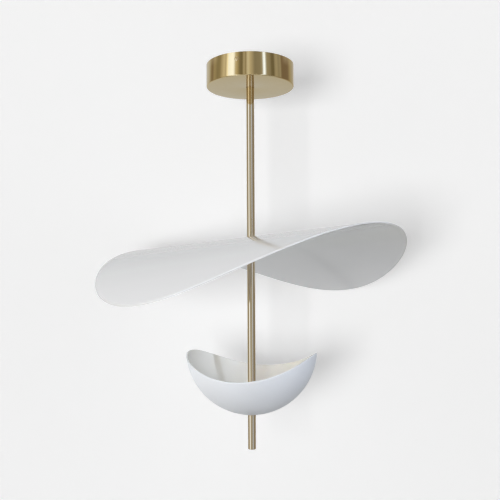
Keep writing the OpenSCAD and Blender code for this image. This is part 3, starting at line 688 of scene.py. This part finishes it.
sidePlaces = []
for k in range(sideScrewSet["count"]):
    way = heading(sideScrewSet["heading"] + k * 360 / sideScrewSet["count"])
    spot = way * cupSet["outer"] + Vector((0, 0, -sideScrewSet["drop"]))
    sidePlaces.append((spot, way, sideScrewSet["spin"]))

strapX, driverX, driverY, panZ = (plateSet[k] for k in ("strapX", "driverX", "driverY", "panZ"))
firstSpin, spinByX, spinByY = plateSet["clampSpin"]
clampPlaces = [((x, y, plateSet["clampZ"]), down, firstSpin + spinByX * x + spinByY * y)
               for x in plateSet["poleX"] for y in plateSet["clampY"]]
boardPlaces = []
for k in range(boardSet["screwCount"]):
    spot = heading(boardSet["screwHeading"] + k * 360 / boardSet["screwCount"]) * boardSet["screwR"]
    boardPlaces.append((spot + Vector((0, 0, boardSet["top"])), up, boardSet["screwSpin"] * k))

screwSets = [
    ("cup_side_screws", "sideForm", brassScrew, sidePlaces, "canopy", "brushed_brass", "canopy_screws"),
    ("strap_screw_pair", "panForm", zincSteel, [((strapX, 0, panZ), down, 20), ((-strapX, 0, panZ), down, 75)],
     "stem_frame", "zinc_steel", "strap_screws"),
    ("driver_screw_pair", "panForm", zincSteel,
     [((driverX, driverY, panZ), down, 140), ((-driverX, driverY, panZ), down, 50)],
     "stem_frame", "zinc_steel", "driver_screws"),
    ("earth_screw_head", "earthForm", brassFitting, [(plateSet["earth"], down, 110)],
     "stem_frame", "brushed_brass", "earth_screw"),
    ("clamp_screws", "clampForm", brassFitting, clampPlaces, "stem_frame", "brushed_brass", "terminal_screws"),
    ("lamp_board_screws", "boardForm", zincSteel, boardPlaces, "stem_frame", "zinc_steel", "board_screws"),
]
for name, form, finish, places, body, slot, stoodFor in screwSets:
    wear(scatter(name, forms[form], finish, places), None, body, slot, stoodFor)
print("screws made")


# Lamp: fins round the hub, LEDs in two rings, opal cover

lampSet = {
    "finCount": 20, "finT": 1.6, "finIn": 10.0, "finOut": 45.0, "finSteps": 12, "finSunk": 0.1, "finEdge": 0.2,
    "bowlIn": 101.5, "bowlMid": -453.8, "plateZ": -543.2, "plateR": 46.0, "plateT": 4.0, "plateEdge": 0.3,
    "lowZ": -555.2, "hubR": 12.0, "hubFillet": 1.0, "hubEdge": 0.4, "bore": 5.05, "boreEdge": 0.2,
    "segments": 144, "cornerSteps": 3,
}
ledSet = {
    "size": (3.5, 2.8, 0.8), "lensIn": 0.35, "lensDeep": 0.12, "edge": 0.25,
    "rings": ((12, 22), (18, 36)),  # count and radius of each
}
coverSet = {
    "outer": 46.0, "low": -539.2, "wall": 2.0, "edge": 14.0, "dome": 220.0, "hole": 6.75,
    "foot": 0.3, "shoulder": 1.2, "holeTop": 0.4, "holeUnder": 0.3, "segments": 192, "cornerSteps": 4,
    "domeSteps": (40, 32, 24, 16, 10),  # radii of the points along the dome
}
sharpTurn = 1.2  # radians; an edge that turns more than this is bevelled


def finForm():
    half, first, last, steps = lampSet["finT"] / 2, lampSet["finIn"], lampSet["finOut"], lampSet["finSteps"]
    top = lampSet["plateZ"] + lampSet["finSunk"]
    outline = []
    for k in range(steps + 1):
        r = first + (last - first) * k / steps
        z = lampSet["bowlMid"] - math.sqrt(lampSet["bowlIn"] ** 2 - r ** 2)
        outline.append((r, max(z, lampSet["lowZ"])))
    outline += [(last, top), (first, top)]
    work = bmesh.new()
    rows = [[work.verts.new((r * mm, side * half * mm, z * mm)) for r, z in outline] for side in (-1, 1)]
    work.faces.new(rows[0])
    work.faces.new(rows[1][::-1])
    for k in range(len(outline)):
        n = (k + 1) % len(outline)
        work.faces.new((rows[0][k], rows[1][k], rows[1][n], rows[0][n]))
    bmesh.ops.recalc_face_normals(work, faces=work.faces)
    sharp = [e for e in work.edges if e.calc_face_angle(0) > sharpTurn]
    bmesh.ops.bevel(work, geom=sharp, offset=lampSet["finEdge"] * mm, segments=2, affect="EDGES")
    mesh = asMesh(work, "finForm")
    crease(mesh, 30)
    return link("finForm", mesh)


def ledForm():  # a small square body with its lens set into it
    long, wide, high = (side * mm for side in ledSet["size"])
    work = bmesh.new()
    bmesh.ops.create_cube(work, size=1.0, matrix=Matrix.Diagonal((long, wide, high, 1)))
    bmesh.ops.translate(work, verts=work.verts, vec=(0, 0, high / 2))
    top = [f for f in work.faces if f.normal.z > 0.9]
    bmesh.ops.inset_region(work, faces=top, thickness=ledSet["lensIn"] * mm, depth=-ledSet["lensDeep"] * mm)
    upright = [e for e in work.edges if e.calc_face_angle(0) > sharpTurn
               and abs(e.verts[0].co.z - e.verts[1].co.z) > high / 2]
    bmesh.ops.bevel(work, geom=upright, offset=ledSet["edge"] * mm, segments=2, affect="EDGES")
    mesh = asMesh(work, "ledForm")
    crease(mesh, 30)
    return link("ledForm", mesh)


fin, led = finForm(), ledForm()
finPlaces = [((0, 0, 0), up, k * 360 / lampSet["finCount"]) for k in range(lampSet["finCount"])]
ledPlaces = []
for count, radius in ledSet["rings"]:
    for k in range(count):
        turn = (k + 0.5) * 360 / count
        ledPlaces.append((heading(turn) * radius + Vector((0, 0, boardSet["top"])), up, turn))
wear(scatter("sink_fins", fin, sinkMetal, finPlaces), None, "stem_frame", "sink_aluminium", "heat_sink")
wear(scatter("lamp_leds", led, ledPhosphor, ledPlaces), None, "stem_frame", "led_phosphor", "led_chips")


def makeSink():
    plate, under, hub, low, bore = (lampSet[k] for k in ("plateR", "plateZ", "hubR", "lowZ", "bore"))
    top = under + lampSet["plateT"]
    corners = [
        (plate, top, lampSet["plateEdge"]), (plate, under, lampSet["plateEdge"]),
        (hub, under, lampSet["hubFillet"]), (hub, low, lampSet["hubEdge"]),
        (bore, low, lampSet["boreEdge"]), (bore, top, lampSet["boreEdge"]),
    ]
    return spun("sink_plate", corners, lampSet["segments"], lampSet["cornerSteps"])


def makeCover():  # domed ring over the lamp board, with a round shoulder
    outer, low, wall, hole, dome = (coverSet[k] for k in ("outer", "low", "wall", "hole", "dome"))
    steps, foot = coverSet["domeSteps"], coverSet["foot"]
    centre = low + coverSet["edge"] - math.sqrt(dome ** 2 - outer ** 2)

    def onDome(r, rounding, depth=0):
        return (r, centre + math.sqrt((dome - depth) ** 2 - r ** 2), rounding)

    outline = [(outer, low, foot), onDome(outer, coverSet["shoulder"])]
    outline += [onDome(r, 0) for r in steps]
    outline += [onDome(hole, coverSet["holeTop"]), onDome(hole, coverSet["holeUnder"], wall)]
    outline += [onDome(r, 0, wall) for r in steps[::-1] + (outer - wall,)]
    outline += [(outer - wall, low, foot)]
    return spun("opal_cover", outline[::-1], coverSet["segments"], coverSet["cornerSteps"])


wear(makeSink(), sinkMetal, "stem_frame", "sink_aluminium", "heat_sink")
wear(makeCover(), opalPlastic, "stem_frame", "opal_cover", "diffuser")
print("lamp made")


# Wires: a round section run along a path of straight lengths and bends

wireSet = {"sides": 20, "bendStep": 6, "blockY": -23.0, "driverY": 14.0}
mainsSet = {"radius": 1.1, "z": -9.0, "turn": 25.0, "bend": 12.0, "middle": 2.0}
leadSet = {"radius": 0.75, "x": 0.9, "z": -5.2, "bend": 3.0, "lowZ": -531.2, "outY": 13.0}


def routed(start, way, normal, steps):  # steps are (straight, turn in degrees, turn radius, roll)
    spot, way, normal = Vector(start), Vector(way), Vector(normal)
    points = [spot.copy()]
    for straight, turn, radius, roll in steps:
        spot = spot + way * straight
        points.append(spot.copy())
        if turn == 0:
            continue
        axis = Matrix.Rotation(math.radians(roll), 3, way) @ normal
        arm = axis.cross(way) * radius * math.copysign(1, turn)
        centre, count = spot + arm, max(2, math.ceil(abs(turn) / wireSet["bendStep"]))
        for k in range(1, count + 1):
            points.append(centre - Matrix.Rotation(math.radians(turn * k / count), 3, axis) @ arm)
        spot = points[-1].copy()
        way = Matrix.Rotation(math.radians(turn), 3, axis) @ way
        normal = axis
    return [p for k, p in enumerate(points) if k == 0 or (p - points[k - 1]).length > 1e-6]


def wireTree():
    tree, bench, start, given = startTree("wireRun", {"Radius": 1.0, "Sides": 16, "Finish": brownSheath})
    path = bench.put("GeometryNodeMeshToCurve", None, {"Mesh": start})
    ring = bench.put("GeometryNodeCurvePrimitiveCircle", None, {
        "Radius": given["Radius"], "Resolution": given["Sides"]})
    skin = bench.put("GeometryNodeCurveToMesh", None, {
        "Curve": path.outputs[0], "Profile Curve": ring.outputs[0], "Fill Caps": True})
    endTree(bench, softShade(bench, skin.outputs[0]), given["Finish"])
    return tree


wireRun = wireTree()


def runWire(name, points, radius, material, body, slot, stoodFor):
    mesh = bpy.data.meshes.new(name + "Path")
    mesh.from_pydata([p * mm for p in points], [(k, k + 1) for k in range(len(points) - 1)], [])
    piece = grow(name, wireRun, {"Radius": radius * mm, "Sides": wireSet["sides"], "Finish": material}, mesh)
    wear(piece, None, body, slot, stoodFor)


# Mains: a shallow bow from the block to the driver
turn, bend, middle = (mainsSet[k] for k in ("turn", "bend", "middle"))
span = wireSet["driverY"] - wireSet["blockY"]
bowEnd = (span - 2 * middle * math.cos(math.radians(turn)) - 4 * bend * math.sin(math.radians(turn))) / 2
bow = [(bowEnd, -turn, bend, 0), (middle, 2 * turn, bend, 0), (middle, -turn, bend, 0), (bowEnd, 0, 0, 0)]
for name, x, finish in (("mains_wire_blue", plateSet["poleX"][1], blueSheath),
                        ("mains_wire_brown", plateSet["poleX"][2], brownSheath)):
    points = routed((x, wireSet["blockY"], mainsSet["z"]), (0, 1, 0), (0, 0, 1), bow)
    runWire(name, points, mainsSet["radius"], finish, "stem_frame", "wire_mains", "mains_wires")

# Lamp: out of the driver, down the stem and out to the board
bend, high, low = leadSet["bend"], leadSet["z"], leadSet["lowZ"]
lampRoute = [
    (wireSet["driverY"] - bend, 90, bend, 0), (high - low - 2 * bend, 90, bend, 0),
    (leadSet["outY"] - 2 * bend, -90, bend, 0), (low - bend - boardSet["top"], 0, 0, 0),
]
for name, x, finish in (("lamp_wire_black", -leadSet["x"], blackSheath),
                        ("lamp_wire_red", leadSet["x"], redSheath)):
    points = routed((x, wireSet["driverY"], high), (0, -1, 0), (1, 0, 0), lampRoute)
    runWire(name, points, leadSet["radius"], finish, "stem_frame", "wire_pair", "lamp_wires")
print("wires made")


# CAD nodes that keep their own shape

keptNodes = {
    "ceiling_plate": zincSteel, "stem_strap": zincSteel, "stem_nut": zincSteel, "stem_lock_washer": zincSteel,
    "stem_lock_screw": zincSteel, "canopy_nuts": zincSteel,
    "cable_grommet": blackRubber, "lead_bush": blackRubber, "led_driver": driverCase,
    "terminal_block": blockNylon, "led_board": boardMask, "earth_wire": earthPlastic,
    "top_nipple": brassFitting, "petal_nipple": brassFitting, "dish_nipple": brassFitting,
    "petal_upper_washer": brassTube, "petal_lower_washer": brassTube, "dish_outer_washer": brassTube,
    "dish_inner_washer": washerNylon,
}
for name, finish in keptNodes.items():
    mesh = cadNodes[name].data
    mesh.materials.clear()
    mesh.materials.append(finish)
for form in (*forms.values(), fin, led):  # the trees have made their copies
    bpy.data.objects.remove(form)
print("kept nodes dressed")


# Stage: a white wall close behind, a floor below, both seen only from their front

stageSet = {
    "wallY": 0.262, "floorZ": -1.35, "half": 9.0, "wallTone": 0.8, "floorTone": 0.66, "floorLit": 0.5,
    "backdrop": 0.888, "cloud": 3, "shade": 0.996,
}
keySet = {"place": (-0.475, -1.6, -0.48), "wide": 0.5, "high": 0.42, "power": 17.4, "wallShare": 0.507}
ambientSet = {"level": 0.05, "fromSides": 0.45, "onWall": 0.195, "wallFade": 0.04}


def keyFalloff(bench, place):  # share of the key light that reaches a point of the wall
    xyz = bench.put("ShaderNodeSeparateXYZ", None, {0: place})
    far = stageSet["wallY"] - keySet["place"][1]
    x, z = bench.sig(xyz, 0) - keySet["place"][0], bench.sig(xyz, 2) - keySet["place"][2]
    share = far * far / (x * x + z * z + far * far)
    return share * share


def wallLift(bench, place):  # what the wall's own light lacks of the backdrop's tone where nothing shades it
    z = bench.sig(bench.put("ShaderNodeSeparateXYZ", None, {0: place}), 2)
    fromRoom = ambientSet["onWall"] - z * ambientSet["wallFade"]
    lit = keyFalloff(bench, place) * (keySet["wallShare"] * stageSet["wallTone"]) + fromRoom
    return (stageSet["backdrop"] - lit).most(0.0)


def floorLift(bench, place):
    return stageSet["backdrop"] - stageSet["floorLit"]


def stageMaterial(name, tone, lift):
    material = bpy.data.materials.new(name)
    material.use_nodes = True
    material.node_tree.nodes.clear()
    bench = Bench(material.node_tree)
    place = bench.put("ShaderNodeTexCoord").outputs["Object"]
    ray = bench.put("ShaderNodeLightPath")
    seen = bench.sig(ray, "Is Camera Ray").most(bench.sig(ray, "Is Transmission Ray"))
    grain = streak(bench, place, stageSet["cloud"], 2.0)
    colour = bench.blend(grain, grey(tone), grey(tone * stageSet["shade"]))
    matt = bench.put("ShaderNodeBsdfDiffuse", None, {"Color": colour})
    light = bench.put("ShaderNodeEmission", None, {"Color": grey(1), "Strength": seen * lift(bench, place)})
    front = bench.put("ShaderNodeAddShader", None, {0: matt.outputs[0], 1: light.outputs[0]})
    clear = bench.put("ShaderNodeBsdfTransparent")
    hidden = bench.sig(bench.put("ShaderNodeNewGeometry"), "Backfacing").most(bench.sig(ray, "Is Glossy Ray"))
    either = bench.put("ShaderNodeMixShader", None, {0: hidden, 1: front.outputs[0], 2: clear.outputs[0]})
    bench.put("ShaderNodeOutputMaterial", None, {0: either.outputs[0]})
    return material


def stagePlane(name, corners, material):
    mesh = bpy.data.meshes.new(name)
    mesh.from_pydata(corners, [], [(0, 1, 2, 3)])
    mesh.materials.append(material)
    piece = link(name, mesh)
    return piece


half = stageSet["half"]
square = [(-half, -half), (half, -half), (half, half), (-half, half)]
wallPaint = stageMaterial("wallPaint", stageSet["wallTone"], wallLift)
wall = stagePlane("backWall", [(x, stageSet["wallY"], z) for x, z in square], wallPaint)
floorPaint = stageMaterial("floorPaint", stageSet["floorTone"], floorLift)
floor = stagePlane("paleFloor", [(x, y, stageSet["floorZ"]) for x, y in square], floorPaint)


# Light: a soft box that throws the shadow on the wall, and eight lights for the lamp alone

lampsSet = [  # name, place, width, height, power, tint, whether it lights the stage only
    ("shadowBox", keySet["place"], keySet["wide"], keySet["high"], keySet["power"], (1, 1, 1), True),
    ("farLeft", (-1.5, -0.1, -0.4), 0.5, 0.8, 9.0, (1.0, 1, 1.01), False),
    ("frontBox", (-0.3, -1.5, -0.05), 0.5, 0.4, 9.7, (1.01, 1, 0.96), False),
    ("lowLeft", (-1.15, -0.96, -0.74), 0.18, 0.18, 4.2, (1, 1, 1), False),
    ("topBack", (-0.35, 0.1, 0.9), 0.25, 0.25, 3.7, (1, 1, 1), False),
    ("rightHigh", (1.0, -0.6, 0.7), 0.6, 0.5, 4.3, (0.9, 1, 1.15), False),
    ("rightStrip", (1.2, -1.6, 0.0), 0.08, 1.0, 12.2, (0.91, 1, 1.17), False),
    ("fromFloor", (0.5, 0.12, -1.3), 0.5, 0.5, 0.7, (1, 1, 1), False),
    ("bowlBeam", (-0.35, -0.7, -0.3), 0.09, 0.035, 0.0045, (1.25, 1, 0.62), False),
]
lampAim = Vector((0, 0, -0.35))
beamSet = {"name": "bowlBeam", "aim": (0.055, 0.07, -0.478), "spread": 10}  # narrow, on the bowl's inside

receivers = {True: bpy.data.collections.new("stageOnly"), False: bpy.data.collections.new("lampOnly")}
for stageOnly, group in receivers.items():
    for place, plane in enumerate((wall, floor)):
        group.objects.link(plane)
        group.collection_objects[place].light_linking.link_state = "INCLUDE" if stageOnly else "EXCLUDE"
for name, place, wide, high, power, tint, stageOnly in lampsSet:
    lamp = bpy.data.objects.new(name, bpy.data.lights.new(name, "AREA"))
    lamp.data.shape = "RECTANGLE"
    lamp.data.size, lamp.data.size_y = wide, high
    lamp.data.energy, lamp.data.color = power, tint
    lamp.location = place
    target = Vector((place[0], 0, place[2])) if stageOnly else lampAim
    if name == beamSet["name"]:
        target = Vector(beamSet["aim"])
        lamp.data.spread = math.radians(beamSet["spread"])
    lamp.rotation_euler = (target - Vector(place)).to_track_quat("-Z", "Y").to_euler()
    lamp.visible_glossy = False
    lamp.light_linking.receiver_collection = receivers[stageOnly]
    scene.collection.objects.link(lamp)

# What shiny metal shows of the room, by the way it faces: (degrees round from the camera, brightness, tint)
cool, glass, plain, sand = (0.86, 1.0, 1.34), (0.78, 1.0, 1.66), (0.97, 1.0, 1.0), (1.02, 1.0, 0.9)
warm, ruddy = (1.08, 1.0, 0.74), (1.22, 1.0, 0.8)
roomLeft = [
    (-180, 0.55, plain), (-150, 0.64, plain), (-131, 0.54, plain), (-124, 0.34, warm), (-116, 0.2, ruddy),
    (-105, 0.37, warm), (-93, 0.26, warm), (-84, 0.3, warm), (-70, 0.7, sand), (-65, 0.55, sand),
    (-60, 1.25, plain), (-57, 1.42, cool), (-45, 1.54, cool), (-42, 1.38, cool), (-38, 0.66, sand),
    (-33, 0.48, warm), (-27, 0.24, warm), (-22, 0.18, warm), (-19, 0.24, warm), (-16.5, 0.47, sand),
    (-14, 0.45, sand), (-11.5, 0.28, warm), (-6.5, 0.72, plain), (-3.5, 0.73, plain), (0, 0.58, sand),
]
roomRight = [
    (0, 0.58, sand), (5, 0.46, sand), (12, 0.28, sand), (27, 0.31, sand), (31.5, 0.46, plain),
    (34.5, 1.45, glass), (38, 1.75, glass), (41, 0.7, cool), (44, 0.36, sand), (53, 0.29, sand),
    (57, 0.18, warm), (63.5, 0.17, warm), (68, 0.38, sand), (73, 0.41, sand), (79, 0.31, sand),
    (85, 0.39, sand), (90, 0.18, ruddy), (104, 0.18, ruddy), (115, 0.19, ruddy), (127, 0.38, warm),
    (140, 0.42, sand), (155, 0.48, sand), (180, 0.55, plain),
]


# The wall behind and above, which the top of the petal mirrors: (where it starts, how fast it comes in)
behindSet = {
    "tone": 0.66, "steep": (0.32, 6.0), "steepBack": (0.0, 4.0), "low": (-0.025, 8.0), "lowBack": (0.84, 10.0),
}


def bandRamp(bench, bands, turn):  # bands run over half a turn
    first = bands[0][0]
    stops = [((a - first) / 180, tuple(level * c for c in tint) + (1,)) for a, level, tint in bands]
    return bench.put("ShaderNodeValToRGB", {"stops": stops}, {0: (turn * 360 - first) / 180}).outputs[0]


def comesIn(way, key):  # rises from 0 to 1 past its start
    start, speed = behindSet[key]
    return ((way - start) * speed).unit()


def buildRoom():
    room = bpy.data.worlds.new("room")
    room.use_nodes = True
    room.node_tree.nodes.clear()
    bench = Bench(room.node_tree)
    way = bench.put("ShaderNodeSeparateXYZ", None, {0: bench.put("ShaderNodeTexCoord").outputs["Generated"]})
    x, y, z = (bench.sig(way, k) for k in range(3))
    turn = x.calc("ARCTAN2", x, -y) / (2 * math.pi)
    left, right = bandRamp(bench, roomLeft, turn), bandRamp(bench, roomRight, turn)
    shine = bench.blend(turn.calc("GREATER_THAN", turn, 0.0), left, right)
    steep = comesIn(z, "steep") * comesIn(y, "steepBack")
    low = comesIn(z, "low") * comesIn(y, "lowBack")
    shine = bench.blend(steep.most(low), shine, grey(behindSet["tone"]))
    glow = abs(x) * ambientSet["fromSides"] + ambientSet["level"]
    soft = bench.put("ShaderNodeCombineColor", None, {0: glow, 1: glow, 2: glow})
    ray = bench.put("ShaderNodeLightPath")
    glossy = bench.sig(ray, "Is Glossy Ray")
    clear = bench.sig(ray, "Is Camera Ray").most(bench.sig(ray, "Is Transmission Ray"))
    lamp = bench.blend(glossy, soft.outputs[0], shine)
    colour = bench.blend(clear, lamp, grey(stageSet["backdrop"]))
    light = bench.put("ShaderNodeBackground", None, {"Color": colour, "Strength": 1.0})
    bench.put("ShaderNodeOutputWorld", None, {0: light.outputs[0]})
    return room


scene.world = buildRoom()
bowlShell.visible_glossy = False  # so that the stem keeps its bands inside the bowl, as in the photo
print("stage and light set")
